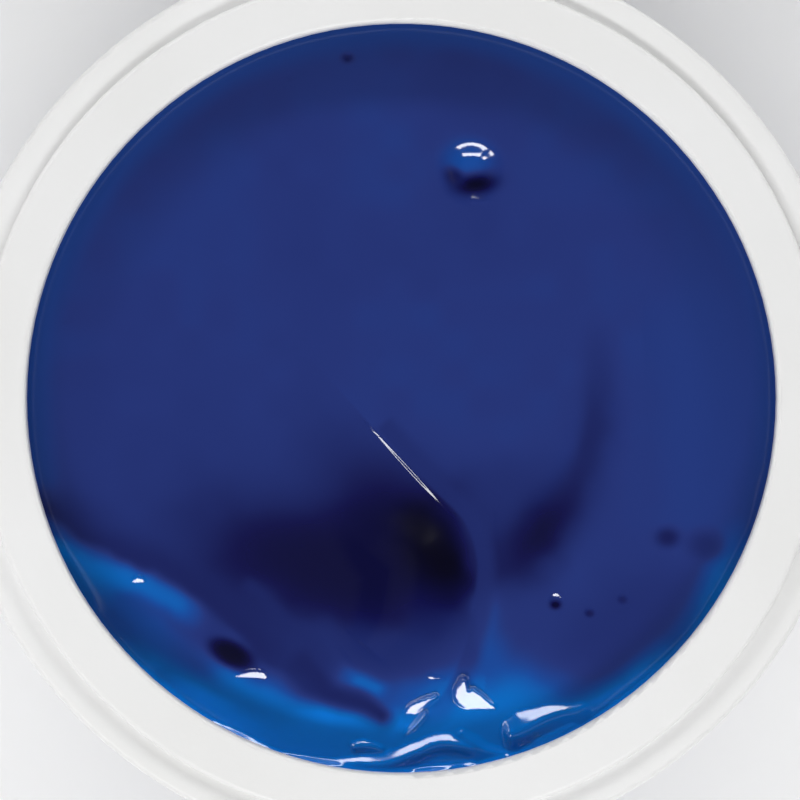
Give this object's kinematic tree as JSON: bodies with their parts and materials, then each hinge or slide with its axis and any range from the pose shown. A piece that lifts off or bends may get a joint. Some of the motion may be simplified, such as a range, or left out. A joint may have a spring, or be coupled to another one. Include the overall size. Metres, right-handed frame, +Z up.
{
  "type": "paint jar",
  "caption": "Clear wide-mouth jar full of thick blue paint, with a ribbed screw collar and a full-width flip lid hinged at the back, standing open.",
  "frame": {"origin": "centre of the jar's foot, on the surface it stands on", "axes": "+Z up along the jar's axis, +Y towards the hinge and the open lid"},
  "size_m": [0.0738, 0.1511, 0.0798],
  "materials": {
    "jar_body": "clear gloss",
    "paint": "wet gloss",
    "body_label": "satin paper",
    "closure_gasket": "matt foam",
    "screw_collar": "satin moulded",
    "hinge_pin": "drawn",
    "flip_lid": "satin moulded",
    "lid_seal": "matt",
    "lid_label": "satin paper"
  },
  "bodies": {
    "jar": {"jar_body": "jar_body", "paint": "paint", "body_label": "body_label"},
    "gasket": {"closure_gasket": "closure_gasket"},
    "collar": {"screw_collar": "screw_collar", "hinge_pin": "hinge_pin"},
    "lid": {"flip_lid": "flip_lid", "lid_seal": "lid_seal", "lid_label": "lid_label"}
  },
  "joints": [
    {"name": "collar_lift", "type": "slide", "parent": "jar", "child": "gasket", "axis": [0, 0, 1], "range_m": [0, 0.00405]},
    {"name": "collar_turn", "type": "hinge", "parent": "gasket", "child": "collar", "pos_m": [0, 0, 0.0715], "axis": [0, 0, 1], "range_deg": [0, 344]},
    {"name": "lid_flip", "type": "hinge", "parent": "collar", "child": "lid", "pos_m": [0, 0.04, 0.0776], "axis": [1, 0, 0], "range_deg": [0, 200]}
  ],
  "couplings": [
    {"joint": "collar_lift", "follows": "collar_turn", "m_per_rad": 0.00067375}
  ]
}
